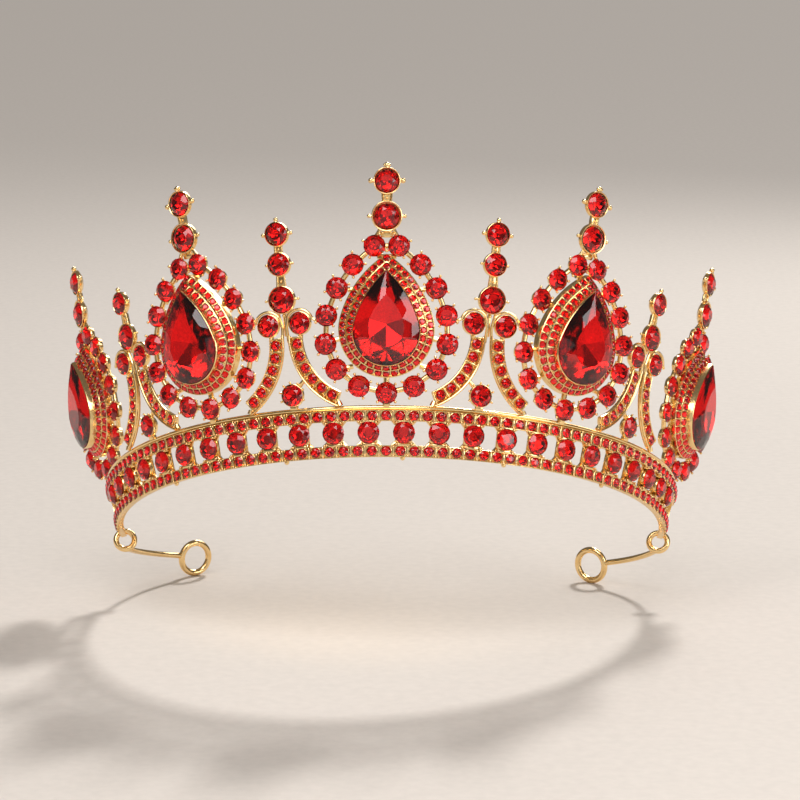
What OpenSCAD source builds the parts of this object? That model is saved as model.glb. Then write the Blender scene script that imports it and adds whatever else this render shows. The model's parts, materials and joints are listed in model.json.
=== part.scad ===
// Open tiara: a flared band of set stones, five pear medallions, four spires and two rear legs.
// Everything is drawn on the band's own circle, then leaned back as the tiara is worn.
// On the flared wall a place is given by its angle from the front, its height h up the wall and
// its depth w, which is 0 on the wall's middle surface and grows outwards.

/* [Band] */
// Radius of the band along its bottom edge
band_r = 79; // [65:0.5:90]
// Outward lean of the wall, in degrees
flare = 16.2; // [5:0.1:22]
// Lean of the whole tiara, front raised, in degrees
lean = 27; // [0:1:35]
// Large stones along the band
large_count = 24; // [16:2:26]
// Spacing of the large stones along the band
large_pitch = 9.2; // [8.5:0.1:9.6]
// Small stones along the lower rail
lower_count = 67; // [40:1:72]
// Small stones along the upper rail
upper_count = 71; // [40:1:74]
// Half of the angle that the rails cover
rail_end = 91.7; // [80:0.1:96]

/* [Medallions] */
// Angle from the front to the side medallions
side_angle = 34.9; // [32:0.1:38]
// Angle from the front to the end medallions
end_angle = 85; // [80:0.1:92]
// Turn of the end medallions towards the front
end_turn = 16; // [0:0.1:30]
// Lean of the end medallions
end_flare = 12; // [5:0.1:20]
// Width of the pear stones
pear_w = 17.8; // [14:0.1:18.4]
// Height of the pears' girdles above the wall
pear_rise = 6; // [5:0.1:7]

/* [Spires] */
// Angle from the front to the inner spires
inner_spire = 18; // [16:0.1:20]
// Angle from the front to the outer spires
outer_spire = 52.9; // [50:0.1:56]

/* [Stones] */
// Diameter of the large band stones and the ring stones
round_d = 6; // [5:0.1:6.2]
// Diameter of the small rail and branch stones
small_d = 2.7; // [2:0.1:2.7]
// Diameter of the pave stones
pave_d = 1.8; // [1.2:0.1:1.8]

/* [Hidden] */

$fn = 48;
gold = "#d9b26a";
ruby = "#c4101c";

lower_row_h = 1.25;
large_row_h = 6.25;
upper_row_h = 10.75;
lower_rail_edges = [-0.45, 2.75];
upper_rail_edges = [9.25, 12.35];
top_wire_h = 12.95;
top_wire_r = 0.6;
rail_in = -0.9;
rail_out = 1.2;
seat_gap = 0.04;
large_w = 1.4;
web_half = 2.5;

// Half of the ring's stones, from beside the top down to beside the bottom: across, up the wall
ring_half = [[3.3, 56.4], [9.15, 51.3], [13.4, 45], [16.2, 37.6], [16.4, 29.9], [13.5, 23.1], [7.4, 18.6]];
ring_bottom = [0, 16.8];
ring_path = concat(ring_half, [ring_bottom], [for (i = [6:-1:0]) [-ring_half[i][0], ring_half[i][1]]]);
finial_low_h = 64.4;
finial_top_h = 74;

// Pear outlines: half width, height of the round end's centre, rise from there to the point
pear = [pear_w / 2, 33, 16.4];
halo = [13, 33.85, 20.45];
halo_step = [11, 33.6, 18.4];
bezel = [pear_w / 2 + 0.35, 33, 17];
outer_row = [12, 33.85, 19.3];
inner_row = [9.95, 33.4, 17.5];
halo_low_w = 2.75;
halo_high_w = 4.05;
pear_shoulder = 15;

// Spire: heights of its stones, the side pair, and the branch arc about its own centre
spire_low_h = 43.2;
spire_mid_h = 52.9;
spire_top_h = 61.1;
pair = [4.5, 36.5];
// Branch arcs: centre across and up, radius, first stone's angle, step, end angle
near_arc = [22, 32.4, 18.8, 184.2, 10.8, 244];
away_arc = [23.5, 32.3, 20.6, 183.5, 9.5, 235.5];
base_h = 17.2;
base_shift = 0.8;

// Rear wires, given for the right side: the eye at the band's end and the ring centres (x, y, z)
eye = [78.4, 5.6, -1.6];
eye_major = 2.7;
eye_minor = 0.85;
leg_r = 0.85;
leg_bow = 2.2;
ring_major = 4.6;
ring_minor = 0.95;
ring_turn = 33;
left_ring_centre = [60.3, 37.5, 1.3];
right_ring_centre = [59.8, 30.5, -2.3];

module worn() { rotate([-lean, 0, 0]) children(); }

// Places a flat drawing on the wall: x across, y up the wall, z outwards
module on_wall(angle, tilt = flare, turn = 0) {
    rotate([0, 0, angle]) translate([0, -band_r, 0]) rotate([0, 0, -turn]) rotate([tilt + 90, 0, 0]) children();
}

function wall_rz(h, w) = [band_r + h * sin(flare) + w * cos(flare), h * cos(flare) - w * sin(flare)];

module wall_strip(h0, h1, w0, w1, from, to) {
    rotate([0, 0, from - 90]) rotate_extrude(angle = to - from, $fn = 96)
        polygon([wall_rz(h0, w0), wall_rz(h0, w1), wall_rz(h1, w1), wall_rz(h1, w0)]);
}

// One round stone: blunt culet below, girdle, crown and table, girdle at z = 0
module round_stone(d) {
    r = d / 2;
    rotate_extrude() polygon([[0, -0.62 * r], [0.2 * r, -0.62 * r], [r, -0.06 * r], [r, 0.06 * r],
        [0.6 * r, 0.36 * r], [0, 0.36 * r]]);
}

// Rimmed cup for a round stone, its girdle at z = 0
module cup(d, wall = 0.38, back = 2.1) {
    r = d / 2 + seat_gap;
    rotate_extrude() polygon([[0, -back], [r + wall, -back], [r + wall, 0.1], [r, 0.1], [r, -0.06 * r],
        [0.2 * r, -0.62 * r - seat_gap], [0, -0.62 * r - seat_gap]]);
}

// Low bowl under a round stone, which overhangs it all round
module bowl(d, back = 2.1) {
    r = d / 2;
    rotate_extrude() polygon([[0, -back], [r - 0.2, -back], [r - 0.2, -0.55], [0.82 * r, -0.55],
        [0.2 * r, -0.62 * r - seat_gap], [0, -0.62 * r - seat_gap]]);
}

module ball_prong(length, r = 0.42, ball = 0.72) {
    rotate([0, 90, 0]) cylinder(h = length, r = r, $fn = 24);
    translate([length, 0, 0]) sphere(r = ball, $fn = 24);
}

// A round bar between two flat points, kept short of both by the gaps
module bar(a, b, gap_a, gap_b, r, z = 0) {
    run = norm(b - a);
    translate([a[0], a[1], z]) rotate([0, 0, atan2(b[1] - a[1], b[0] - a[0])])
        translate([gap_a, 0, 0]) rotate([0, 90, 0]) cylinder(h = run - gap_a - gap_b, r = r, $fn = 24);
}

// Pear outline by arc length: round end first, then the long side to the point
function side_r(s) = (s[0] * s[0] + s[2] * s[2] - 2 * s[0] * s[2] * sin(pear_shoulder))
    / (2 * (s[0] - s[2] * sin(pear_shoulder)));
function side_centre(s) = [(s[0] - side_r(s)) * cos(pear_shoulder), s[1] + (s[0] - side_r(s)) * sin(pear_shoulder)];
function round_len(s) = s[0] * (90 + pear_shoulder) * PI / 180;
function side_sweep(s) = atan2(s[1] + s[2] - side_centre(s)[1], -side_centre(s)[0]) - pear_shoulder;
function half_len(s) = round_len(s) + side_r(s) * side_sweep(s) * PI / 180;
function pear_at(s, run) = run < round_len(s)
    ? let (t = -90 + run / s[0] * 180 / PI) [s[0] * cos(t), s[1] + s[0] * sin(t)]
    : let (t = pear_shoulder + (run - round_len(s)) / side_r(s) * 180 / PI)
        side_centre(s) + side_r(s) * [cos(t), sin(t)];
function pear_points(s, n = 22) = concat(
    [for (i = [0:n]) pear_at(s, half_len(s) * i / n)],
    [for (i = [n - 1:-1:1]) let (q = pear_at(s, half_len(s) * i / n)) [-q[0], q[1]]]);
function row_points(s, n) = [for (i = [0:n - 1]) let (k = i * 2 / n, q = pear_at(s, half_len(s) * (k < 1 ? k : 2 - k)))
    k < 1 ? q : [-q[0], q[1]]];
outer_points = row_points(outer_row, 38);
inner_points = row_points(inner_row, 32);

// ---- Band ----

function small_angle(i, count) = (i - (count - 1) / 2) * 2 * rail_end / count;
function large_angle(i) = (i - (large_count - 1) / 2) * large_pitch / band_r * 180 / PI;

module rail(edges, row_h, count) {
    difference() {
        wall_strip(edges[0], edges[1], rail_in, rail_out, -rail_end, rail_end);
        for (i = [0:count - 1]) on_wall(small_angle(i, count)) translate([0, row_h, 0.2])
            cylinder(h = 3, d = small_d + 2 * seat_gap, $fn = 20);
    }
}

module lower_rail() {
    color(gold) worn() {
        rail(lower_rail_edges, lower_row_h, lower_count);
        for (a = [-48, -20, 3.2, 23.7, 48.5]) on_wall(a) translate([0, lower_rail_edges[0] - 0.2, 0])
            sphere(r = 0.7, $fn = 24);
    }
}

module upper_rail() { color(gold) worn() rail(upper_rail_edges, upper_row_h, upper_count); }

module top_wire() {
    color(gold) worn() rotate([0, 0, -rail_end - 90]) rotate_extrude(angle = 2 * rail_end, $fn = 96)
        translate(wall_rz(top_wire_h, 0.2)) circle(r = top_wire_r, $fn = 24);
}

module small_stones(h, count) {
    color(ruby) worn() for (i = [0:count - 1]) on_wall(small_angle(i, count)) translate([0, h, 1.15])
        round_stone(small_d, $fn = 16);
}
module lower_rail_stones() { small_stones(lower_row_h, lower_count); }
module upper_rail_stones() { small_stones(upper_row_h, upper_count); }

module large_stones() {
    color(ruby) worn() for (i = [0:large_count - 1]) on_wall(large_angle(i)) translate([0, large_row_h, large_w])
        round_stone(round_d);
}

// A web from rail to rail with a conical seat, and a prong at each corner
module large_stone_settings() {
    r = round_d / 2;
    height = upper_rail_edges[0] - lower_rail_edges[1];
    middle = (upper_rail_edges[0] + lower_rail_edges[1]) / 2;
    color(gold) worn() for (i = [0:large_count - 1]) on_wall(large_angle(i)) {
        difference() {
            translate([-web_half, middle - height / 2, -1.6]) cube([2 * web_half, height, 2]);
            translate([0, large_row_h, large_w]) rotate_extrude() polygon([[0, -0.62 * r - seat_gap],
                [0.2 * r, -0.62 * r - seat_gap], [r, -0.06 * r], [0, -0.06 * r]]);
        }
        for (x = [-1, 1]) for (y = [-1, 1]) translate([x * 2.15, middle + y * 2.85, 0.2])
            cylinder(h = large_w + 0.1, r = 0.32, $fn = 16);
    }
}

// ---- Medallions ----

module ring_frame(angle, tilt, turn) {
    link_r = 0.85;
    color(gold) worn() on_wall(angle, tilt, turn) {
        for (i = [0:len(ring_path) - 1]) translate([ring_path[i][0], ring_path[i][1], 1.2]) bowl(round_d);
        for (i = [0:len(ring_path) - 2]) bar(ring_path[i], ring_path[i + 1], 2.5, 2.5, link_r, 0.1);
        bar([-3.3, 56.4], [3.3, 56.4], 2.5, 2.5, link_r, 0.1);
        // foot on the top wire, and the bars behind the halo plate
        translate([-1, 13.3, -0.6]) cube([2, 1.6, 1.6]);
        for (side = [-1, 1]) {
            translate([side * 12.4 - 1.2, 32, -1.2]) cube([2.4, 1.6, 1.2]);
            translate([side * 12.6 - 2.2, 31.2, -0.9]) cube([4.4, 1.6, 0.9]);
        }
        translate([-0.8, 19.6, -1]) cube([1.6, 3, 1]);
        translate([-2.6, 51.2, -1]) cube([5.2, 3.6, 1]);
    }
}

module pave_seat() { cylinder(h = 2.4, d = pave_d + 2 * seat_gap, $fn = 16); }

// Closed cup for the pear with two terraces of small seats round it
module halo_plate(angle, tilt, turn) {
    color(gold) worn() on_wall(angle, tilt, turn) difference() {
        union() {
            linear_extrude(halo_low_w) polygon(pear_points(halo));
            linear_extrude(halo_high_w) polygon(pear_points(halo_step));
            linear_extrude(pear_rise - 0.1) polygon(pear_points(bezel));
        }
        translate([0, 0, 1]) linear_extrude(pear_rise)
            polygon(pear_points([pear[0] - 0.2, pear[1], pear[2] - 0.3]));
        for (q = outer_points) translate([q[0], q[1], halo_low_w - 0.75]) pave_seat();
        for (q = inner_points) translate([q[0], q[1], halo_high_w - 0.75]) pave_seat();
    }
}

module pear_slab(w, height, scale) {
    translate([0, 0, w]) linear_extrude(height)
        polygon(pear_points([pear[0] * scale, pear[1] + (1 - scale) * 1.2, pear[2] * scale]));
}

module pear_stone(angle, tilt, turn) {
    color(ruby) worn() on_wall(angle, tilt, turn) hull() {
        pear_slab(pear_rise - 3.6, 0.1, 0.3);
        pear_slab(pear_rise, 0.6, 1);
        pear_slab(pear_rise, 2.4, 0.52);
    }
}

module pave_stones(angle, tilt, turn) {
    color(ruby) worn() on_wall(angle, tilt, turn) {
        for (q = outer_points) translate([q[0], q[1], halo_low_w]) round_stone(pave_d, $fn = 13);
        for (q = inner_points) translate([q[0], q[1], halo_high_w]) round_stone(pave_d, $fn = 13);
    }
}

module round_stones(angle, tilt, turn) {
    color(ruby) worn() on_wall(angle, tilt, turn) {
        for (q = ring_path) translate([q[0], q[1], 1.2]) round_stone(round_d);
        translate([0, finial_low_h, 1.4]) round_stone(6.8);
        translate([0, finial_top_h, 0.9]) round_stone(6.2);
    }
}

module finial(angle, tilt, turn) {
    color(gold) worn() on_wall(angle, tilt, turn) {
        translate([0, finial_low_h, 1.4]) cup(6.8, wall = 0.7);
        translate([0, finial_top_h, 0.9]) cup(6.2, wall = 0.5, back = 1.95);
        translate([-1.3, finial_low_h + 3.9, -0.7]) cube([2.6, 2.4, 1.9]);
        for (side = [-1, 1]) {
            bar([side * 1.6, finial_low_h - 2.6], [side * 3, 58.6], 0.4, -0.6, 0.7, -0.2);
            translate([side * 4, finial_low_h, 0.8]) rotate([0, 0, side < 0 ? 180 : 0]) ball_prong(0.8, 0.35, 0.55);
            translate([side * 3.4, finial_top_h, 0.4]) rotate([0, 0, side < 0 ? 180 : 0]) ball_prong(0.9, ball = 0.75);
        }
        translate([0, finial_top_h + 3.4, 0.4]) rotate([0, 0, 90]) ball_prong(0.9, ball = 0.9);
    }
}

// ---- Spires ----

// The branch towards the tiara's front is the wider one
function arc_of(side, angle) = side * angle < 0 ? near_arc : away_arc;
function branch_point(arc, i) = let (t = arc[3] + arc[4] * i) [arc[0] + arc[2] * cos(t), arc[1] + arc[2] * sin(t)];

module spire(angle, tall) {
    color(gold) worn() on_wall(angle) {
        if (tall) {
            translate([0, spire_top_h, 1.2]) cup(6, wall = 0.5);
            translate([-0.9, spire_mid_h + 3.3, -0.7]) cube([1.8, 1.8, 1.6]);
        }
        translate([0, spire_mid_h, 1.2]) cup(6, wall = 0.4);
        translate([-1, spire_low_h + 3.5, -0.7]) cube([2, 3.1, 1.6]);
        translate([0, spire_low_h, 1.3]) cup(6.8, wall = 0.45);
        translate([-0.75, 31.6, -0.7]) cube([1.5, 8.4, 1.5]);
        for (side = [-1, 1]) {
            translate([side * pair[0], pair[1], 1.2]) cup(round_d, wall = 0.2);
            bar([side * pair[0], pair[1]], [side * 9, pair[1] + 0.6], 3.1, 0.1, 0.7, 0.1);
            translate([side * 3.2, spire_mid_h, 0.5]) rotate([0, 0, side < 0 ? 180 : 0]) ball_prong(1.1, 0.3, 0.55);
            translate([side * 3.5, spire_low_h, 0.6]) rotate([0, 0, side < 0 ? 180 : 0]) ball_prong(1.5, 0.3, 0.55);
            if (tall) translate([side * 3.2, spire_top_h, 0.5]) rotate([0, 0, side < 0 ? 180 : 0]) ball_prong(1.3);
        }
        translate([0, (tall ? spire_top_h : spire_mid_h) + 3.2, 0.5]) rotate([0, 0, 90]) ball_prong(1.1);
    }
}

module spire_stones(angle, tall) {
    shift = angle < 0 ? base_shift : -base_shift;
    color(ruby) worn() on_wall(angle) {
        if (tall) translate([0, spire_top_h, 1.2]) round_stone(6);
        translate([0, spire_mid_h, 1.2]) round_stone(6);
        translate([0, spire_low_h, 1.3]) round_stone(6.8);
        for (side = [-1, 1]) translate([side * pair[0], pair[1], 1.2]) round_stone(round_d);
        translate([shift, base_h, 1.2]) round_stone(round_d);
    }
}

// One curved arm: a strip about the arc's centre, with six seats
module branch(arc) {
    start = arc[3] - 6;
    difference() {
        translate([arc[0], arc[1], -0.6]) rotate([0, 0, start]) rotate_extrude(angle = arc[5] - start, $fn = 96)
            translate([arc[2] - 1.75, 0]) square([4.2, 1.7]);
        for (i = [0:5]) translate([branch_point(arc, i)[0], branch_point(arc, i)[1], 0.2])
            cylinder(h = 3, d = small_d + 2 * seat_gap, $fn = 20);
    }
}

module branches(angle) {
    shift = angle < 0 ? base_shift : -base_shift;
    color(gold) worn() on_wall(angle) {
        for (side = [-1, 1]) on_side(side) branch(arc_of(side, angle));
        translate([shift, base_h, 1.2]) bowl(round_d);
        translate([shift - 1, 13.3, -0.6]) cube([2, 1.6, 1.6]);
    }
}

module branch_stones(angle) {
    color(ruby) worn() on_wall(angle) for (side = [-1, 1]) on_side(side) for (i = [0:5])
        let (q = branch_point(arc_of(side, angle), i)) translate([q[0], q[1], 1.05]) round_stone(small_d, $fn = 16);
}

module on_side(side) { mirror([side < 0 ? 1 : 0, 0, 0]) children(); }

// ---- Rear ----

module end_plate(side) {
    color(gold) worn() on_side(side) {
        wall_strip(lower_rail_edges[0], top_wire_h, -0.7, 0.9, rail_end, rail_end + 2.6);
        translate(eye) rotate([90, 0, -8]) rotate_extrude() translate([eye_major, 0]) circle(r = eye_minor, $fn = 24);
    }
}

// The leg ends on the ring's outer side, turned like the ring
function leg_end(centre) = centre + (ring_major + 0.4) * [cos(ring_turn), -sin(ring_turn), 0];

// A wire bowed outwards between the eye and the ring
module leg(side, centre) {
    start = eye + [-0.6, eye_minor, -eye_major + 0.4];
    end = leg_end(centre);
    run = end - start;
    len = norm(run);
    r = (len * len / 4 + leg_bow * leg_bow) / (2 * leg_bow);
    half = asin(len / 2 / r);
    color(gold) worn() on_side(side) translate((start + end) / 2)
        rotate([0, -asin(run[2] / len), atan2(run[1], run[0])]) translate([0, r - leg_bow, 0])
            rotate([0, 0, -90 - half]) rotate_extrude(angle = 2 * half, $fn = 96)
                translate([r, 0]) circle(r = leg_r, $fn = 24);
}

// The ring stands upright when the tiara leans back
module rear_ring(side, centre) {
    color(gold) worn() on_side(side) translate(centre) rotate([lean, 0, 0]) rotate([90, 0, -ring_turn])
        rotate_extrude() translate([ring_major, 0]) circle(r = ring_minor, $fn = 24);
}

lower_rail();
upper_rail();
top_wire();
large_stone_settings();
lower_rail_stones();
upper_rail_stones();
large_stones();
end_plate(-1);  // left_end_plate
end_plate(1);  // right_end_plate
leg(-1, left_ring_centre);  // left_leg
leg(1, right_ring_centre);  // right_leg
rear_ring(-1, left_ring_centre);  // left_ring
rear_ring(1, right_ring_centre);  // right_ring
ring_frame(0, flare, 0);  // centre_ring_frame
halo_plate(0, flare, 0);  // centre_halo_plate
pear_stone(0, flare, 0);  // centre_pear_stone
finial(0, flare, 0);  // centre_finial
round_stones(0, flare, 0);  // centre_round_stones
pave_stones(0, flare, 0);  // centre_pave_stones
ring_frame(-side_angle, flare, 0);  // left_ring_frame
halo_plate(-side_angle, flare, 0);  // left_halo_plate
pear_stone(-side_angle, flare, 0);  // left_pear_stone
finial(-side_angle, flare, 0);  // left_finial
round_stones(-side_angle, flare, 0);  // left_round_stones
pave_stones(-side_angle, flare, 0);  // left_pave_stones
ring_frame(side_angle, flare, 0);  // right_ring_frame
halo_plate(side_angle, flare, 0);  // right_halo_plate
pear_stone(side_angle, flare, 0);  // right_pear_stone
finial(side_angle, flare, 0);  // right_finial
round_stones(side_angle, flare, 0);  // right_round_stones
pave_stones(side_angle, flare, 0);  // right_pave_stones
ring_frame(-end_angle, end_flare, -end_turn);  // far_left_ring_frame
halo_plate(-end_angle, end_flare, -end_turn);  // far_left_halo_plate
pear_stone(-end_angle, end_flare, -end_turn);  // far_left_pear_stone
finial(-end_angle, end_flare, -end_turn);  // far_left_finial
round_stones(-end_angle, end_flare, -end_turn);  // far_left_round_stones
pave_stones(-end_angle, end_flare, -end_turn);  // far_left_pave_stones
ring_frame(end_angle, end_flare, end_turn);  // far_right_ring_frame
halo_plate(end_angle, end_flare, end_turn);  // far_right_halo_plate
pear_stone(end_angle, end_flare, end_turn);  // far_right_pear_stone
finial(end_angle, end_flare, end_turn);  // far_right_finial
round_stones(end_angle, end_flare, end_turn);  // far_right_round_stones
pave_stones(end_angle, end_flare, end_turn);  // far_right_pave_stones
spire(-inner_spire, true);  // inner_left_spire
spire_stones(-inner_spire, true);  // inner_left_spire_stones
branches(-inner_spire);  // inner_left_branches
branch_stones(-inner_spire);  // inner_left_branch_stones
spire(inner_spire, true);  // inner_right_spire
spire_stones(inner_spire, true);  // inner_right_spire_stones
branches(inner_spire);  // inner_right_branches
branch_stones(inner_spire);  // inner_right_branch_stones
spire(-outer_spire, false);  // outer_left_spire
spire_stones(-outer_spire, false);  // outer_left_spire_stones
branches(-outer_spire);  // outer_left_branches
branch_stones(-outer_spire);  // outer_left_branch_stones
spire(outer_spire, false);  // outer_right_spire
spire_stones(outer_spire, false);  // outer_right_spire_stones
branches(outer_spire);  // outer_right_branches
branch_stones(outer_spire);  // outer_right_branch_stones
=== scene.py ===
"""Ruby tiara: the detailed settings, cut stones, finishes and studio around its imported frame."""

import json
import math
import random

import bmesh
import bpy
from bpy.props import FloatProperty, IntProperty, PointerProperty, StringProperty
from mathutils import Matrix, Vector

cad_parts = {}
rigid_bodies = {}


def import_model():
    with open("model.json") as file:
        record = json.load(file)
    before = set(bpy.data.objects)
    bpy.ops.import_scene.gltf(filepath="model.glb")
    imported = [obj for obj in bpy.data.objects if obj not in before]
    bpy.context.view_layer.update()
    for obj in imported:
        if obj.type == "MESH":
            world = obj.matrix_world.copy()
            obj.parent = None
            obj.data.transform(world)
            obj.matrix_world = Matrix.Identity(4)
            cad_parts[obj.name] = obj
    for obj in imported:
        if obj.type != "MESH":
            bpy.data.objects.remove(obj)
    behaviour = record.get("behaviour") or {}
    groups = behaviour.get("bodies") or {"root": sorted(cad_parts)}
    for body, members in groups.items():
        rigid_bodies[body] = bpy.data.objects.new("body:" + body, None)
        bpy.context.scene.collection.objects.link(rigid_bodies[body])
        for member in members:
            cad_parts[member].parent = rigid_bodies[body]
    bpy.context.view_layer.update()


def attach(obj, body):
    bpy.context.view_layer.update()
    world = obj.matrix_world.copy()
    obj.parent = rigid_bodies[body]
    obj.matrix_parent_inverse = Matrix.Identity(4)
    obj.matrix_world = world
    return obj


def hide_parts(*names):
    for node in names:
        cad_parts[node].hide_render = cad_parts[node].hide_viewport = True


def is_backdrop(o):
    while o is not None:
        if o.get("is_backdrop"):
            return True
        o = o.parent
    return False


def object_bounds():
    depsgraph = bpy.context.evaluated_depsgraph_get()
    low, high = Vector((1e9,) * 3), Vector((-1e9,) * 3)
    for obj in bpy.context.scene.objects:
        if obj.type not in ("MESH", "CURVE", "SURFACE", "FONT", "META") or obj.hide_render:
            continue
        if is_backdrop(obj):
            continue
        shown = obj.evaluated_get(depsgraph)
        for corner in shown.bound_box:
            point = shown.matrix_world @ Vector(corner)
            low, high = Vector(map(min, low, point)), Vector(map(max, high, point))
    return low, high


bl_info = {
    "name": "Ruby Tiara",
    "version": (1, 0, 0),
    "blender": (4, 5, 0),
    "location": "3D View > Sidebar > Tiara",
    "description": "Builds the settings, cut stones and finishes of a rhinestone tiara around its frame",
    "category": "Object",
}

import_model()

MM = 0.001
RAIL_HALF_ANGLE = math.radians(91.7)
FLARE_DEGREES = 16.2

# Heights up the wall, in millimetres, of the band's rows and of the rails' edges
LOWER_ROW = 1.25
LARGE_ROW = 6.25
UPPER_ROW = 10.75
LOWER_RAIL = (-0.45, 2.75)
UPPER_RAIL = (9.25, 12.35)
TOP_WIRE = 12.95
TOP_WIRE_W = 0.2
TOP_WIRE_RADIUS = 0.6

# Depths of the stones' girdles out of the wall, in millimetres
SMALL_W = 1.15
LARGE_W = 1.4
ROUND_W = 1.2
BRANCH_STONE_W = SMALL_W - 0.1
BRANCH_STONES = 6

# Medallion layout, in millimetres: across, up the wall
RING_HALF = ((3.3, 56.4), (9.15, 51.3), (13.4, 45.0), (16.2, 37.6), (16.4, 29.9), (13.5, 23.1), (7.4, 18.6))
RING_PATH = RING_HALF + ((0.0, 16.8),) + tuple((-u, h) for u, h in reversed(RING_HALF))

# Finial stones, in millimetres: diameter, height, depth
FINIAL_LOW = (6.8, 64.4, 1.4)
FINIAL_TOP = (6.2, 74.0, 0.9)

# Pear outlines, in millimetres: half width, height of the round end's centre, rise to the point
PEAR = (8.9, 33.0, 16.4)
HALO = (13.0, 33.85, 20.45)
RIDGE = (11.0, 33.6, 18.4)
PEAR_SHOULDER = math.radians(15)

# Depth of the pear stone's girdle out of the wall, in millimetres
PEAR_W = 6.25

# Rows of pave stones round the pear: outline, number, depth of their girdles
PAVE_ROWS = (((12.0, 33.85, 19.3), 38, 2.75), ((9.95, 33.4, 17.5), 32, 4.05))
HALO_SLOPE = math.radians(32)

# Spire stones, in millimetres: diameter, height, depth; PAIR is across, height
SPIRE_LOW = (6.8, 43.2, 1.3)
SPIRE_MID = (6.0, 52.9, 1.2)
SPIRE_TOP = (6.0, 61.1, 1.2)
PAIR = (4.5, 36.5)

# The stone under each spire: its height, and how far it stands towards the tiara's front
BASE_STONE = 17.2
BASE_SHIFT = 0.8

# Branch arcs: centre across and up, radius in millimetres, then first stone, step and end in degrees.
# The branch towards the tiara's front is the wider one.
NEAR_ARC = (22.0, 32.4, 18.8, 184.2, 10.8, 244.0)
AWAY_ARC = (23.5, 32.3, 20.6, 183.5, 9.5, 235.5)

# Degrees round the band, of outward lean, and of turn about the wall's upright
MEDALLIONS = {
    "centre": (0.0, FLARE_DEGREES, 0.0),
    "left": (-34.9, FLARE_DEGREES, 0.0),
    "right": (34.9, FLARE_DEGREES, 0.0),
    "far_left": (-85.0, 12.0, -16.0),
    "far_right": (85.0, 12.0, 16.0),
}

# Degrees round the band, and whether the spire has a third stone
SPIRES = {
    "inner_left": (-18.0, True),
    "inner_right": (18.0, True),
    "outer_left": (-52.9, False),
    "outer_right": (52.9, False),
}

# Faces round a turned cup, a bowl, a rail bezel and a branch bezel
CUP_STEPS = 36
BOWL_STEPS = 28
RAIL_BEZEL_STEPS = 20
BRANCH_BEZEL_STEPS = 18

# Steps along the band's rails and wire
BAND_STEPS = 180

# Points round the halo plate's outlines
HALO_POINTS = 96

# Closer points than this are one point, in metres
WELD = 0.01 * MM

# Edges sharper than this stay crisp on a smooth piece
KEEP_SHARP = math.radians(35)

# Main facets of the small stones
SMALL_MAINS = 6

# Random seeds and the most that a stone sits crooked, in degrees
BAND_SEED, BAND_TILT = 11, 4
MEDALLION_SEED, RING_TILT, PAVE_TILT = 5, 6, 5
SPIRE_SEED, SPIRE_TILT = 3, 6


# ---- Sizes and colours a user would change ----

class TiaraSizes(bpy.types.PropertyGroup):
    band_radius: FloatProperty(
        name="Band radius", description="Radius along the band's bottom edge", default=0.079, unit="LENGTH")
    flare: FloatProperty(
        name="Flare", description="Outward lean of the wall",
        default=math.radians(FLARE_DEGREES), subtype="ANGLE")
    lean: FloatProperty(
        name="Lean", description="Lean of the whole tiara as worn", default=math.radians(27), subtype="ANGLE")
    round_stone: FloatProperty(
        name="Round stones", description="Diameter of the band and ring stones",
        default=0.006, unit="LENGTH")
    small_stone: FloatProperty(
        name="Small stones", description="Diameter of the rail and branch stones",
        default=0.0027, unit="LENGTH")
    pave_stone: FloatProperty(
        name="Pave stones", description="Diameter of the halo stones", default=0.002, unit="LENGTH")
    large_pitch: FloatProperty(
        name="Large pitch", description="Spacing of the large band stones", default=0.0092, unit="LENGTH")
    large_count: IntProperty(name="Large stones", description="Number of large band stones", default=24)
    lower_count: IntProperty(
        name="Lower rail stones", description="Small stones on the lower rail", default=67)
    upper_count: IntProperty(
        name="Upper rail stones", description="Small stones on the upper rail", default=71)


class TiaraColours(bpy.types.PropertyGroup):
    ruby: StringProperty(name="Ruby glass", description="Tint of the glass, sRGB hex", default="#ff1a1e")
    foil: StringProperty(name="Foil", description="Foil behind the glass, sRGB hex", default="#ffd0c0")
    gold: StringProperty(name="Gold plate", description="Plating, sRGB hex", default="#ffdc9e")
    gold_deep: StringProperty(
        name="Deeper gold", description="Deeper patches of the plating, sRGB hex", default="#f8d08e")
    floor: StringProperty(name="Floor", description="Studio floor, sRGB hex", default="#cfc6bd")
    key_energy: FloatProperty(
        name="Softboxes", description="Power of the front softbox; the others follow it",
        default=8.5, unit="POWER")


def sizes():
    return bpy.context.scene.tiara_sizes


def colours():
    return bpy.context.scene.tiara_colours


# ---- Places on the wall ----

def on_wall(angle, tilt=None, turn=0.0):
    """Matrix that lays a flat drawing (x across, y up the wall, z outwards, metres) on the wall."""
    s = sizes()
    tilt = s.flare if tilt is None else tilt
    return (
        Matrix.Rotation(-s.lean, 4, "X")
        @ Matrix.Rotation(angle, 4, "Z")
        @ Matrix.Translation((0, -s.band_radius, 0))
        @ Matrix.Rotation(-turn, 4, "Z")
        @ Matrix.Rotation(tilt + math.pi / 2, 4, "X")
    )


def spot(u, h, w=0.0):
    """A place in a flat drawing, given in millimetres."""
    return Matrix.Translation((u * MM, h * MM, w * MM))


def turned(degrees):
    return Matrix.Rotation(math.radians(degrees), 4, "Z")


def worn():
    return Matrix.Rotation(-sizes().lean, 4, "X")


def wall_point(h, w):
    """Radius and height, in metres, of a place h up the wall and w out of it, in millimetres."""
    s = sizes()
    return (s.band_radius + (h * math.sin(s.flare) + w * math.cos(s.flare)) * MM,
            (h * math.cos(s.flare) - w * math.sin(s.flare)) * MM)


def small_angle(i, count):
    return (i - (count - 1) / 2) * 2 * RAIL_HALF_ANGLE / count


def large_angle(i):
    s = sizes()
    return (i - (s.large_count - 1) / 2) * s.large_pitch / s.band_radius


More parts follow.
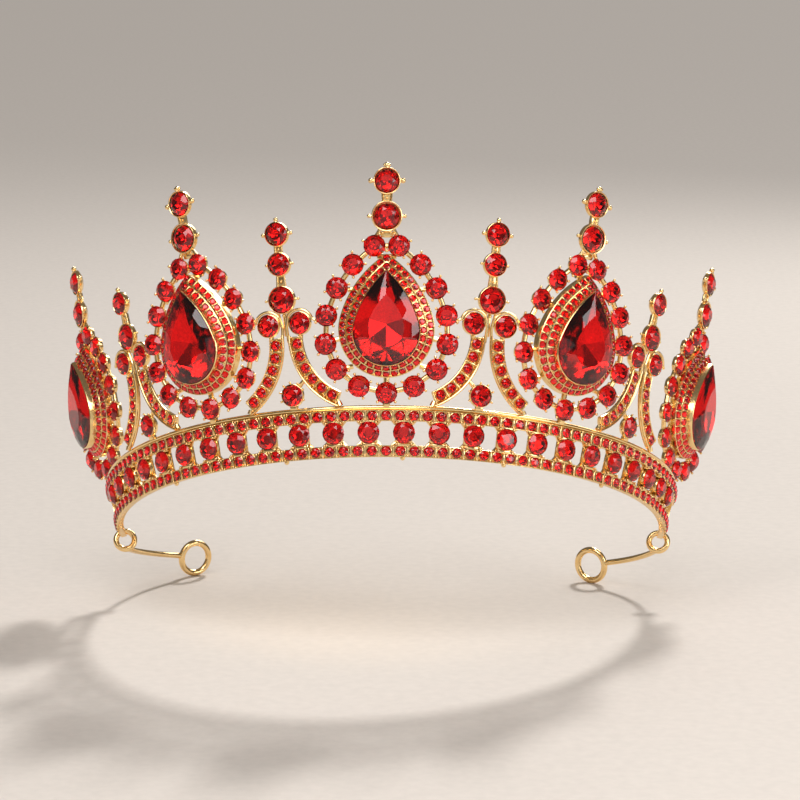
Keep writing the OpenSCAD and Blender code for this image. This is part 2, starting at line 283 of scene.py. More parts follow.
def pear_at(share, outline):
    """Point of a pear outline, share 0 to 1 once round from the middle of its round end."""
    a, c, rise = outline
    g = PEAR_SHOULDER
    r = (a * a + rise * rise - 2 * a * rise * math.sin(g)) / (2 * (a - rise * math.sin(g)))
    cx, cy = (a - r) * math.cos(g), c + (a - r) * math.sin(g)
    round_part = a * (math.pi / 2 + g)
    sweep = math.atan2(c + rise - cy, -cx) - g
    half = round_part + r * sweep
    side = 1 if share <= 0.5 else -1
    run = (share if share <= 0.5 else 1 - share) * 2 * half
    if run < round_part:
        t = -math.pi / 2 + run / a
        x, y = a * math.cos(t), c + a * math.sin(t)
    else:
        t = g + (run - round_part) / r
        x, y = cx + r * math.cos(t), cy + r * math.sin(t)
    return Vector((side * x * MM, y * MM, 0))


def grown(outline, by):
    """A pear outline moved outwards by a distance, in millimetres."""
    a, c, h = outline
    return (a + by, c, h + by * 1.25)


def pear_place(share, outline, w, slope=0.0):
    """Matrix of a place on a pear outline: x along it, y inwards, z out of the wall, leaned outwards."""
    step = 0.004  # of the way round, to either side, for the outline's direction
    along = (pear_at((share + step) % 1, outline) - pear_at((share - step) % 1, outline)).normalized()
    basis = Matrix(((along.x, -along.y, 0, 0), (along.y, along.x, 0, 0), (0, 0, 1, 0), (0, 0, 0, 1)))
    middle = Matrix.Translation(pear_at(share % 1, outline))
    return middle @ spot(0, 0, w) @ basis @ Matrix.Rotation(slope, 4, "X")


def medallion_places():
    """Name and place on the wall of each medallion."""
    for name, (angle, tilt, turn) in MEDALLIONS.items():
        yield name, on_wall(math.radians(angle), math.radians(tilt), math.radians(turn))


def front_side(angle):
    """The side, 1 or -1, on which the tiara's front lies from a spire."""
    return 1 if angle < 0 else -1


def outwards(side):
    """The angle that points away from the middle line, in degrees."""
    return 0 if side > 0 else 180


def arc_of(side, angle):
    return NEAR_ARC if side * angle < 0 else AWAY_ARC


def branch_point(arc, i, offset=0.0):
    """A place on a branch arc: i steps past its first stone, moved out from the arc's centre."""
    t = math.radians(arc[3] + arc[4] * i)
    return arc[0] + (arc[2] + offset) * math.cos(t), arc[1] + (arc[2] + offset) * math.sin(t)


# ---- Building with bmesh ----

def new_piece(bm, name, materials, smooth=True):
    """Makes the bmesh an object at the origin, its faces outwards."""
    mesh = bpy.data.meshes.new(name)
    bm.to_mesh(mesh)
    bm.free()
    for material in materials:
        mesh.materials.append(material)
    piece = bpy.data.objects.new(name, mesh)
    bpy.context.scene.collection.objects.link(piece)
    if smooth:
        mesh.shade_smooth()
        mesh.set_sharp_from_angle(angle=KEEP_SHARP)
    return piece


def template(bm, name):
    mesh = bpy.data.meshes.new(name)
    bm.to_mesh(mesh)
    bm.free()
    return mesh


def stamp(bm, pattern, matrix=Matrix.Identity(4)):
    """Adds a copy of a template mesh to the bmesh at a place."""
    copy = pattern.copy()
    copy.transform(matrix)
    bm.from_mesh(copy)
    bpy.data.meshes.remove(copy)


def linked_edges(verts):
    """The edges on some vertices, each once."""
    return list(dict.fromkeys(e for v in verts for e in v.link_edges))


def linked_faces(verts):
    """The faces on some vertices, each once."""
    return list(dict.fromkeys(f for v in verts for f in v.link_faces))


def turn_profile(bm, profile, steps):
    """Spins an open profile of (radius, height) in millimetres about z; ends on the axis meet there."""
    verts = [bm.verts.new((r * MM, 0, z * MM)) for r, z in profile]
    edges = [bm.edges.new(pair) for pair in zip(verts, verts[1:])]
    before = set(bm.verts) - set(verts)
    bmesh.ops.spin(bm, geom=verts + edges, cent=(0, 0, 0), axis=(0, 0, 1), angle=2 * math.pi,
                   steps=steps, use_merge=True, use_duplicate=False)
    made = [v for v in bm.verts if v not in before]
    bmesh.ops.remove_doubles(bm, verts=made, dist=WELD)
    made = [v for v in bm.verts if v not in before]
    bmesh.ops.recalc_face_normals(bm, faces=linked_faces(made))


def arc_tube(bm, radius, tube, start, sweep, steps, sides, centre, flat=1.0):
    """A wire bent to an open arc about z: start and sweep in radians, sizes in millimetres."""
    m = (Matrix.Translation(Vector(centre) * MM) @ Matrix.Rotation(start, 4, "Z")
         @ Matrix.Translation((radius * MM, 0, 0)) @ Matrix.Rotation(math.pi / 2, 4, "X"))
    before = set(bm.verts)
    ring = bmesh.ops.create_circle(bm, cap_ends=False, radius=tube * MM, segments=sides)["verts"]
    bmesh.ops.scale(bm, vec=(1, flat, 1), verts=ring)
    bmesh.ops.transform(bm, matrix=m, verts=ring)
    bmesh.ops.spin(bm, geom=ring + linked_edges(ring), cent=Vector(centre) * MM, axis=(0, 0, 1),
                   angle=sweep, steps=steps, use_merge=False, use_duplicate=False)
    made = [v for v in bm.verts if v not in before]
    rim = [e for e in linked_edges(made) if e.is_boundary]
    bmesh.ops.holes_fill(bm, edges=rim, sides=sides)
    bmesh.ops.recalc_face_normals(bm, faces=linked_faces(made))


def block(bm, size, matrix, bevel):
    """A box with rounded edges, size in millimetres."""
    before = set(bm.verts)
    bmesh.ops.create_cube(bm, size=MM, matrix=Matrix.Diagonal((*size, 1)))
    made = [v for v in bm.verts if v not in before]
    bmesh.ops.bevel(bm, geom=linked_edges(made), offset=bevel * MM, offset_type="OFFSET", segments=2,
                    profile=0.5, affect="EDGES", material=-1)
    made = [v for v in bm.verts if v not in before]
    bmesh.ops.transform(bm, matrix=matrix, verts=made)


def ball(bm, radius, matrix, detail=1):
    bmesh.ops.create_icosphere(bm, subdivisions=detail, radius=radius * MM, matrix=matrix)


def rod(bm, start, end, radius, end_radius=None, sides=8):
    """A straight tapered wire between two points, in millimetres."""
    a, b = Vector(start), Vector(end)
    m = Matrix.Translation((a + b) / 2 * MM) @ (b - a).to_track_quat("Z", "Y").to_matrix().to_4x4()
    bmesh.ops.create_cone(bm, cap_ends=True, segments=sides, radius1=radius * MM,
                          radius2=(radius if end_radius is None else end_radius) * MM,
                          depth=(b - a).length * MM, matrix=m)


def loop_of(bm, points):
    """A closed loop of edges through some points."""
    verts = [bm.verts.new(p) for p in points]
    return [bm.edges.new((verts[i], verts[(i + 1) % len(verts)])) for i in range(len(verts))]


# ---- Cut stones ----

def ring_of(bm, n, r, z, turn=0.0):
    """A ring of n corners for a cut stone, in millimetres."""
    bmesh.ops.create_circle(bm, cap_ends=False, radius=r * MM, segments=n,
                            matrix=Matrix.Translation((0, 0, z * MM)) @ Matrix.Rotation(turn, 4, "Z"))


def cut(bm, girdle, tolerance=1.0):
    """Turns the bmesh's points into a cut stone; faces under the girdle take the foil."""
    bmesh.ops.convex_hull(bm, input=bm.verts[:])
    bmesh.ops.dissolve_limit(bm, angle_limit=math.radians(tolerance), verts=bm.verts[:], edges=bm.edges[:])
    bmesh.ops.recalc_face_normals(bm, faces=bm.faces[:])
    for face in bm.faces:
        face.material_index = 1 if face.calc_center_median().z < girdle * MM else 0


def chaton(diameter, mains=8, fine=True):
    """A round chaton with its girdle at z = 0: table, crown, girdle and foiled pavilion."""
    r = diameter / 2
    half = math.pi / mains
    bm = bmesh.new()
    ring_of(bm, mains, 0.54 * r, 0.38 * r)
    if fine:
        ring_of(bm, mains, 0.79 * r, 0.235 * r, half)
        ring_of(bm, 2 * mains, r, 0.045 * r)
        ring_of(bm, 2 * mains, r, -0.045 * r)
        ring_of(bm, mains, 0.56 * r, -0.36 * r, half)
    else:
        ring_of(bm, mains, r, 0.05 * r, half)
        ring_of(bm, mains, r, -0.05 * r, half)
    ring_of(bm, mains, 0.12 * r, -0.62 * r)
    cut(bm, -0.03 * r)
    return bm


def pear_cut():
    """The pear stone: small table, two rows of crown facets, deep foiled pavilion; girdle at z = 0."""
    bm = bmesh.new()
    a, c, rise = PEAR

    def row(count, scale, z, shift=0.0, lift=0.0):
        for i in range(count):
            p = pear_at(((i + shift) / count) % 1, (a * scale, c + lift, rise * scale))
            bm.verts.new((p.x, p.y, z * MM))

    row(28, 1.0, 0.3)
    row(28, 1.0, -0.3)
    row(14, 0.80, 1.3, 0.5, 0.3)
    row(14, 0.56, 2.1, 0.0, 0.9)
    row(7, 0.60, -1.9, 0.0, 0.8)
    row(3, 0.02, -3.4, 0.0, 2.1)
    cut(bm, -0.25, 0.5)
    return bm


# ---- Finishes ----

def linear(hex_colour):
    """sRGB hex to the linear values that the shaders use."""
    digits = hex_colour.lstrip("#")
    parts = [int(digits[i:i + 2], 16) / 255 for i in (0, 2, 4)]
    return tuple(p / 12.92 if p <= 0.04045 else ((p + 0.055) / 1.055) ** 2.4 for p in parts) + (1.0,)


def add_node(tree, kind, settings=None, links=None):
    """Adds one node: socket values, then links from (node, output) pairs."""
    made = tree.nodes.new(kind)
    for key, value in (settings or {}).items():
        made.inputs[key].default_value = value
    for key, (source, output) in (links or {}).items():
        tree.links.new(source.outputs[output], made.inputs[key])
    return made


def new_material(name):
    material = bpy.data.materials.new(name)
    material.use_nodes = True
    tree = material.node_tree
    return material, tree, tree.nodes["Principled BSDF"]


def shade(colour, share):
    """A linear colour darkened to a share of itself."""
    return tuple(v * share for v in colour[:3]) + (1.0,)


def ramp(made, stops):
    """Sets the two ends of a colour ramp from (place, colour) pairs."""
    for element, (place, colour) in zip(made.color_ramp.elements, stops):
        element.position = place
        element.color = colour


def gold_plate(name, roughness, grain_mm, bump):
    """Bright gold plating on a cast zinc alloy: pale yellow, slightly wavy from the casting."""
    material, tree, shader = new_material(name)
    c = colours()
    shader.inputs["Metallic"].default_value = 1.0
    place = add_node(tree, "ShaderNodeTexCoord")
    # plating deepens in patches a couple of millimetres wide
    tone = add_node(tree, "ShaderNodeTexNoise", {"Scale": 1 / (2.2 * MM), "Detail": 3.0, "Roughness": 0.6},
                    {"Vector": (place, "Object")})
    mix = add_node(tree, "ShaderNodeValToRGB", links={"Fac": (tone, "Fac")})
    ramp(mix, ((0.3, linear(c.gold_deep)), (0.55, linear(c.gold))))
    tree.links.new(mix.outputs["Color"], shader.inputs["Base Color"])
    # the grain is drawn coarser than the real one, so that it shows
    grain = add_node(tree, "ShaderNodeTexNoise", {"Scale": 1 / (grain_mm * MM), "Detail": 2.0},
                     {"Vector": (place, "Object")})
    limits = {"From Min": 0.3, "From Max": 0.7, "To Min": roughness * 0.75, "To Max": roughness * 1.5}
    rough = add_node(tree, "ShaderNodeMapRange", limits, {"Value": (grain, "Fac")})
    tree.links.new(rough.outputs["Result"], shader.inputs["Roughness"])
    relief = add_node(tree, "ShaderNodeBump", {"Strength": bump, "Distance": 0.05 * MM},
                      {"Height": (grain, "Fac")})
    tree.links.new(relief.outputs["Normal"], shader.inputs["Normal"])
    return material


def ruby_glass(name, tint):
    """Pressed and polished lead glass in ruby red: clear, sharp-edged, strongly bending light."""
    material, tree, shader = new_material(name)
    shader.inputs["Roughness"].default_value = 0.0
    shader.inputs["IOR"].default_value = 1.6
    shader.inputs["Transmission Weight"].default_value = 1.0
    place = add_node(tree, "ShaderNodeTexCoord")
    cloud = add_node(tree, "ShaderNodeTexNoise", {"Scale": 1 / (4.0 * MM), "Detail": 1.0},
                     {"Vector": (place, "Object")})
    mix = add_node(tree, "ShaderNodeValToRGB", links={"Fac": (cloud, "Fac")})
    ramp(mix, ((0.35, shade(linear(tint), 0.88)), (0.6, linear(tint))))
    tree.links.new(mix.outputs["Color"], shader.inputs["Base Color"])
    return material


def foil_back(name, tint, roughness):
    """Lacquered mirror foil under the stone: throws the light back up through the glass."""
    material, tree, shader = new_material(name)
    shader.inputs["Metallic"].default_value = 1.0
    place = add_node(tree, "ShaderNodeTexCoord")
    # the foil's fine wrinkle is drawn coarser than the real one, so that it shows
    grain = add_node(tree, "ShaderNodeTexNoise", {"Scale": 1 / (0.6 * MM), "Detail": 2.0},
                     {"Vector": (place, "Object")})
    mix = add_node(tree, "ShaderNodeValToRGB", links={"Fac": (grain, "Fac")})
    ramp(mix, ((0.3, shade(linear(tint), 0.8)), (0.6, linear(tint))))
    tree.links.new(mix.outputs["Color"], shader.inputs["Base Color"])
    limits = {"To Min": roughness * 0.7, "To Max": roughness * 1.3}
    rough = add_node(tree, "ShaderNodeMapRange", limits, {"Value": (grain, "Fac")})
    tree.links.new(rough.outputs["Result"], shader.inputs["Roughness"])
    return material


def floor_paper(name):
    """Matt studio backdrop paper: pale, faintly fibrous."""
    material, tree, shader = new_material(name)
    place = add_node(tree, "ShaderNodeTexCoord")
    fibre = add_node(tree, "ShaderNodeTexNoise", {"Scale": 1 / (3.0 * MM), "Detail": 4.0},
                     {"Vector": (place, "Object")})
    tone = linear(colours().floor)
    mix = add_node(tree, "ShaderNodeValToRGB", links={"Fac": (fibre, "Fac")})
    ramp(mix, ((0.3, shade(tone, 0.94)), (0.7, tone)))
    tree.links.new(mix.outputs["Color"], shader.inputs["Base Color"])
    shader.inputs["Roughness"].default_value = 0.85
    shader.inputs["Specular IOR Level"].default_value = 0.2
    return material


FINISHES = {}


def finish_of(key):
    """The material of a kind, made the first time that it's asked for."""
    if key not in FINISHES:
        c = colours()
        makers = {
            "gold": lambda: gold_plate("plated_gold_casting", 0.17, 0.55, 0.35),
            "gold_wire": lambda: gold_plate("plated_gold_wire", 0.14, 1.2, 0.12),
            "glass": lambda: ruby_glass("ruby_lead_glass", c.ruby),
            "foil": lambda: foil_back("ruby_foil", c.foil, 0.08),
            "pear_foil": lambda: foil_back("ruby_pear_foil", c.foil, 0.1),
        }
        FINISHES[key] = makers[key]()
    return FINISHES[key]


def settle(piece, nodes):
    """Rides the piece on the one body, in place of its CAD nodes."""
    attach(piece, "root")
    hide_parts(*nodes)


def gold_piece(bm, node, finish="gold"):
    """A detailed metal piece in place of its CAD node."""
    settle(new_piece(bm, node + "_detailed", [finish_of(finish)]), [node])


def stone_piece(bm, node, back="foil"):
    """Cut stones, with foil on their backs, in place of their CAD node."""
    settle(new_piece(bm, node + "_cut", [finish_of("glass"), finish_of(back)], smooth=False), [node])


# ---- Setting patterns, each drawn about its own stone ----

def cup_pattern(diameter, rim, name, gap, depth=2.1, lip=0.28):
    """A turned cup whose thin rim stands round the stone, its girdle at z = 0; rim is its outer radius."""
    r = diameter / 2
    bm = bmesh.new()
    outside = ((0, -depth), (r * 0.55, -depth), (r * 0.85, -depth * 0.9), (rim, -depth * 0.5))
    edge = ((rim, lip - 0.2), (rim - 0.07, lip - 0.05), (rim - 0.17, lip), (r + gap + 0.1, lip - 0.04))
    inside = ((r + gap, lip - 0.18), (r + gap, -0.35), (r * 0.8, -0.75), (r * 0.3, -0.68 * r), (0, -0.68 * r))
    turn_profile(bm, outside + edge + inside, CUP_STEPS)
    return template(bm, name)


def bowl_pattern(diameter, name, depth=2.1):
    """A low bowl that the stone overhangs all round."""
    r = diameter / 2
    bm = bmesh.new()
    turn_profile(bm, ((0, -depth), (r * 0.5, -depth), (r * 0.8, -depth * 0.82), (r - 0.22, -0.75),
                      (r - 0.3, -0.5), (r * 0.8, -0.5), (r * 0.25, -0.66 * r), (0, -0.66 * r)), BOWL_STEPS)
    return template(bm, name)


def claws(bm, diameter, places, tip=0.4, stand=0.42):
    """Ball-tipped claws that come up from under the stone: places are angles in degrees."""
    top, drop, root = 0.1, 1.2, 0.26
    r = diameter / 2
    for angle in places:
        a = math.radians(angle)
        out = Vector((math.cos(a), math.sin(a), 0))
        end = out * (r + stand) + Vector((0, 0, top))
        rod(bm, out * (r - 0.5) + Vector((0, 0, -drop)), end, root * 1.3, root)
        ball(bm, tip, Matrix.Translation(end * MM), 2)


def side_ball(bm, start, angle, length, stem, radius):
    """A ball-tipped prong in the plane of the wall, from a start point outwards."""
    a = math.radians(angle)
    end = Vector(start) + Vector((math.cos(a), math.sin(a), 0)) * length
    rod(bm, start, end, stem * 1.3, stem)
    ball(bm, radius, Matrix.Translation(end * MM), 2)


def neck(bm, low, high, half_low, half_high):
    """The flat joint between two stones of a spire: a plate, a raised edge each side and a bead."""
    w = 0.3
    for side in (-1, 1):
        rod(bm, (side * half_low, low, w + 0.2), (side * half_high, high, w + 0.2), 0.36, 0.32, sides=10)
    middle = (low + high) / 2
    block(bm, (half_low + half_high, high - low, 0.9), spot(0, middle, w - 0.3), 0.2)
    ball(bm, 0.36, spot(0, middle, w + 0.2), 2)


class TiaraOperator(bpy.types.Operator):
    """Shared base of the tiara's build steps"""

    bl_idname = "tiara.base_step"
    bl_label = "Tiara step"
    bl_options = {"UNDO"}

    def execute(self, context):
        self.build()
        return {"FINISHED"}


class TIARA_OT_rails(TiaraOperator):
    """Build the two rails with their seats, beads and lips, and the top wire"""

    bl_idname = "tiara.rails"
    bl_label = "Rails"

    # Casting nubs under the lower rail: degrees round the band, and their radius in millimetres
    NUBS = (-48.0, -20.0, 3.2, 23.7, 48.5)
    NUB_RADIUS = 0.7

    def seat(self, edges, row, count):
        """One pitch of a rail, about its stone: a low bezel, and a raised web with a bead at each end."""
        s = sizes()
        r = s.small_stone / MM / 2
        pitch = s.band_radius * 2 * RAIL_HALF_ANGLE / count / MM
        bm = bmesh.new()
        bezel = ((r + 0.03, 0.1), (r + 0.01, 1.0), (r + 0.06, 1.1), (r + 0.14, 1.05), (r + 0.2, 0.1))
        turn_profile(bm, bezel, RAIL_BEZEL_STEPS)
        low, high = edges[0] - row, edges[1] - row
        block(bm, (0.72, high - low - 0.5, 1.0), spot(pitch / 2, (low + high) / 2, 0.62), 0.2)
        for end in (low + 0.42, high - 0.42):
            top = Vector((pitch / 2, end, 1.08))
            rod(bm, (pitch / 2, end, 0.1), top, 0.42, 0.3)
            ball(bm, 0.34, Matrix.Translation(top * MM), 2)
            for side in (-1, 1):
                ball(bm, 0.2, spot(pitch / 2 + side * 0.75, end + (end / abs(end)) * 0.14, 1.08))
        return template(bm, "rail_seat")

    def tray(self, bm, edges):
        """The rail's own strip: a shallow channel swept along the wall."""
        h0, h1 = edges
        lip, bottom, top, back = 0.22, 0.2, 1.1, -0.9
        section = [(h0, back + 0.15), (h0 + 0.15, back), (h1 - 0.15, back), (h1, back + 0.15),
                   (h1, 0.95), (h1 - 0.08, top), (h1 - lip, top), (h1 - lip - 0.05, bottom),
                   (h0 + lip + 0.05, bottom), (h0 + lip, top), (h0 + 0.08, top), (h0, 0.95)]
        corners = [wall_point(h, w) for h, w in section]
        rim = loop_of(bm, [(0, -r, z) for r, z in corners])
        verts = bm.verts[:]
        bmesh.ops.transform(bm, matrix=Matrix.Rotation(-RAIL_HALF_ANGLE, 4, "Z"), verts=verts)
        bmesh.ops.spin(bm, geom=verts + rim, cent=(0, 0, 0), axis=(0, 0, 1), angle=2 * RAIL_HALF_ANGLE,
                       steps=BAND_STEPS, use_merge=False, use_duplicate=False)
        bmesh.ops.holes_fill(bm, edges=[e for e in bm.edges if e.is_boundary], sides=len(section))
        bmesh.ops.recalc_face_normals(bm, faces=bm.faces[:])
        bmesh.ops.transform(bm, matrix=worn(), verts=bm.verts[:])

    def build(self):
        s = sizes()
        for name, row, edges, count in (("lower_rail", LOWER_ROW, LOWER_RAIL, s.lower_count),
                                        ("upper_rail", UPPER_ROW, UPPER_RAIL, s.upper_count)):
            seat = self.seat(edges, row, count)
            bm = bmesh.new()
            self.tray(bm, edges)
            for i in range(count):
                stamp(bm, seat, on_wall(small_angle(i, count)) @ spot(0, row))
            if name == "lower_rail":
                for degrees in self.NUBS:
                    nub = on_wall(math.radians(degrees)) @ spot(0, edges[0] - 0.2)
                    ball(bm, self.NUB_RADIUS, nub, 2)
            gold_piece(bm, name)
        bm = bmesh.new()
        radius, height = wall_point(TOP_WIRE, TOP_WIRE_W)
        arc_tube(bm, radius / MM, TOP_WIRE_RADIUS, -math.pi / 2 - RAIL_HALF_ANGLE, 2 * RAIL_HALF_ANGLE,
                 BAND_STEPS, sides=14, centre=(0, 0, height / MM))
        bmesh.ops.transform(bm, matrix=worn(), verts=bm.verts[:])
        gold_piece(bm, "top_wire", "gold_wire")


class TIARA_OT_band_settings(TiaraOperator):
    """Build the web behind each large stone, with its bowl and paired beads"""

    bl_idname = "tiara.band_settings"
    bl_label = "Band settings"

    def build(self):
        d = sizes().round_stone / MM
        gap = UPPER_RAIL[0] - LOWER_RAIL[1]
        middle = (UPPER_RAIL[0] + LOWER_RAIL[1]) / 2 - LARGE_ROW
        bm = bmesh.new()
        stamp(bm, bowl_pattern(d, "band_bowl", 2.0))
        block(bm, (4.6, gap + 0.3, 1.0), spot(0, middle, -1.9), 0.25)
        for end in (-1, 1):
            block(bm, (3.4, 0.8, 1.2), spot(0, middle + end * (gap / 2 - 0.2), -0.9), 0.2)
            for side in (-1, 1):
                h = middle + end * (gap / 2 - 0.35)
                rod(bm, (side * 1.95, h, -1.8), (side * 2.05, h, -0.15), 0.42, 0.28)
                ball(bm, 0.36, spot(side * 2.05, h, -0.1), 2)
                ball(bm, 0.3, spot(side * 2.75, middle + end * (gap / 2 - 0.1), -0.5), 2)
                rod(bm, (side * 1.9, middle + end * (gap / 2 - 1.0), -1.9),
                    (side * 3.1, middle + end * (gap / 2 + 0.1), -1.5), 0.5, 0.4)
        setting = template(bm, "band_setting")
        bm = bmesh.new()
        for i in range(sizes().large_count):
            stamp(bm, setting, on_wall(large_angle(i)) @ spot(0, LARGE_ROW, LARGE_W))
        gold_piece(bm, "large_stone_settings")


class TIARA_OT_band_stones(TiaraOperator):
    """Cut the stones of the two rails and the large stones between them"""

    bl_idname = "tiara.band_stones"
    bl_label = "Band stones"

    def build(self):
        s = sizes()
        small = template(chaton(s.small_stone / MM, SMALL_MAINS), "small_chaton")
        large = template(chaton(s.round_stone / MM), "large_chaton")
        chance = random.Random(BAND_SEED)
        rows = (("lower_rail_stones", LOWER_ROW, SMALL_W, small, "small_glass",
                 [small_angle(i, s.lower_count) for i in range(s.lower_count)]),
                ("upper_rail_stones", UPPER_ROW, SMALL_W, small, "small_glass",
                 [small_angle(i, s.upper_count) for i in range(s.upper_count)]),
                ("large_stones", LARGE_ROW, LARGE_W, large, "round_glass",
                 [large_angle(i) for i in range(s.large_count)]))
        for name, row, w, pattern, slot, angles in rows:
            bm = bmesh.new()
            for angle in angles:
                tip = Matrix.Rotation(math.radians(chance.uniform(-BAND_TILT, BAND_TILT)), 4, "X")
                stamp(bm, pattern, on_wall(angle) @ spot(0, row, w) @ tip @ turned(chance.uniform(0, 45)))
            stone_piece(bm, name)


class TIARA_OT_medallions(TiaraOperator):
    """Build the ring frames, halo plates and finials of the five medallions"""

    bl_idname = "tiara.medallions"
    bl_label = "Medallions"

    def frame_pattern(self):
        """The pear-shaped ring of clawed bowls with their link bars, and the struts to the halo plate."""
        d = sizes().round_stone / MM
        bowl = bowl_pattern(d, "ring_bowl")
        bm = bmesh.new()
        count = len(RING_PATH)
        for i, (u, h) in enumerate(RING_PATH):
            before, after = RING_PATH[i - 1], RING_PATH[(i + 1) % count]
            along = math.degrees(math.atan2(after[1] - before[1], after[0] - before[0]))
            part = bmesh.new()
            stamp(part, bowl)
            claws(part, d, [along + a for a in (45, 135, 225, 315)])
            stamp(bm, template(part, "ring_setting"), spot(u, h, ROUND_W))
            start, end = Vector((u, h, 0.2)), Vector((*after, 0.2))
            run = (end - start).normalized()
            rod(bm, start + run * 2.3, end - run * 2.3, 0.74, sides=12)
        block(bm, (2.0, 2.2, 1.6), spot(0, 13.9, 0.1), 0.4)
        for side in (-1, 1):
            rod(bm, (side * 10.5, 32, -0.35), (side * 14.0, 31, -0.1), 0.7)
            rod(bm, (side * 9.0, 24, -0.35), (side * 11.2, 23.4, -0.1), 0.7)
            rod(bm, (side * 6.0, 45, -0.35), (side * 10.5, 44.6, -0.1), 0.7)
        rod(bm, (0, 18.6, -0.3), (0, 23.0, -0.3), 0.8)
        rod(bm, (-2.6, 53.6, -0.3), (2.6, 53.6, -0.3), 0.7)
        rod(bm, (0, 50.0, -0.3), (0, 54.0, -0.3), 0.8)
        return template(bm, "ring_frame")

    def halo_pattern(self):
        """The domed plate round the pear: a rim, two sloping beds with a ridge between, and the bezel."""
        rise = math.tan(HALO_SLOPE)
        bed = 2.05
        rim = ((HALO, 0.0, 0.0), (HALO, 0.0, 1.9), (HALO, -0.05, 2.3), (HALO, -0.22, 2.42),
               (HALO, -0.36, bed))
        ridge = ((RIDGE, 0.16, bed + 1.48 * rise), (RIDGE, 0.1, 3.42), (RIDGE, -0.1, 3.5),
                 (RIDGE, -0.18, bed + 1.82 * rise))
        bezel = ((PEAR, 0.42, 4.15), (PEAR, 0.34, 5.9), (PEAR, 0.22, 6.22), (PEAR, 0.1, 6.32),
                 (PEAR, 0.02, 5.9), (PEAR, -0.3, 1.0))
        bm = bmesh.new()
        loops = []
        for outline, by, w in rim + ridge + bezel:
            shape = grown(outline, by)
            points = [pear_at(i / HALO_POINTS, shape) for i in range(HALO_POINTS)]
            loops.append(loop_of(bm, [p + Vector((0, 0, w * MM)) for p in points]))
        for one, other in zip(loops, loops[1:]):
            bmesh.ops.bridge_loops(bm, edges=one + other)
        for end in (loops[0], loops[-1]):
            bmesh.ops.edgeloop_fill(bm, edges=end)
        bmesh.ops.recalc_face_normals(bm, faces=bm.faces[:])
        for outline, number, w in PAVE_ROWS:
            for i in range(number):
                wall = pear_place((i + 0.5) / number, outline, w, HALO_SLOPE)
                block(bm, (0.26, 1.9, 1.0), wall @ spot(0, 0, -0.34), 0.08)
        return template(bm, "halo")

    def finial_pattern(self):
        """The two cups over the ring, joined by a neck, with ball-tipped prongs at the sides and top."""
        bm = bmesh.new()
        d, low, low_w = FINIAL_LOW
        stamp(bm, cup_pattern(d, 4.2, "finial_low_cup", gap=0.32), spot(0, low, low_w))
        d, top, top_w = FINIAL_TOP
        stamp(bm, cup_pattern(d, 3.7, "finial_top_cup", gap=0.22, depth=1.9), spot(0, top, top_w))
        neck(bm, low + 3.9, top - 3.4, 1.05, 1.25)
        for side in (-1, 1):
            rod(bm, (side * 1.9, low - 3.7, 0.5), (side * 3.1, 58.6, 0.3), 0.55, 0.6, sides=10)
            ball(bm, 0.42, spot(side * 1.1, low - 4.5, 0.7), 2)
            side_ball(bm, (side * 4.0, low, low_w - 0.4), outwards(side), 0.85, 0.34, 0.55)
            side_ball(bm, (side * 3.5, top, top_w - 0.3), outwards(side), 0.85, 0.4, 0.75)
        block(bm, (3.4, 1.6, 1.3), spot(0, low - 4.9, -0.2), 0.35)
        side_ball(bm, (0, top + 3.5, top_w - 0.3), 90, 0.75, 0.5, 0.8)
        ball(bm, 0.5, spot(-0.55, top + 4.25, top_w - 0.2), 2)
        ball(bm, 0.5, spot(0.55, top + 4.25, top_w - 0.2), 2)
        return template(bm, "finial")

    def build(self):
        patterns = (("ring_frame", self.frame_pattern()), ("halo_plate", self.halo_pattern()),
                    ("finial", self.finial_pattern()))
        for name, place in medallion_places():
            for kind, pattern in patterns:
                bm = bmesh.new()
                stamp(bm, pattern, place)
                gold_piece(bm, f"{name}_{kind}")


class TIARA_OT_medallion_stones(TiaraOperator):
    """Cut the pear stones, ring stones, finial stones and pave stones of the medallions"""

    bl_idname = "tiara.medallion_stones"
    bl_label = "Medallion stones"

    def build(self):
        s = sizes()
        pear = template(pear_cut(), "pear_cut")
        ring = template(chaton(s.round_stone / MM), "ring_chaton")
        low = template(chaton(FINIAL_LOW[0]), "finial_low_chaton")
        top = template(chaton(FINIAL_TOP[0]), "finial_top_chaton")
        pave = template(chaton(s.pave_stone / MM, 8, fine=False), "pave_chaton")
        chance = random.Random(MEDALLION_SEED)
        for name, place in medallion_places():
            bm = bmesh.new()
            stamp(bm, pear, place @ spot(0, 0, PEAR_W))
            stone_piece(bm, name + "_pear_stone", "pear_foil")
            bm = bmesh.new()
            for u, h in RING_PATH:
                tip = Matrix.Rotation(math.radians(chance.uniform(-RING_TILT, RING_TILT)), 4, "X")
                stamp(bm, ring, place @ spot(u, h, ROUND_W) @ tip @ turned(chance.uniform(0, 45)))
            stamp(bm, low, place @ spot(0, *FINIAL_LOW[1:]))
            stamp(bm, top, place @ spot(0, *FINIAL_TOP[1:]) @ turned(20))
            stone_piece(bm, name + "_round_stones")
            bm = bmesh.new()
            for outline, number, w in PAVE_ROWS:
                for i in range(number):
                    tip = Matrix.Rotation(math.radians(chance.uniform(-PAVE_TILT, PAVE_TILT)), 4, "Y")
                    stamp(bm, pave, place @ pear_place(i / number, outline, w, HALO_SLOPE) @ tip)
            stone_piece(bm, name + "_pave_stones")


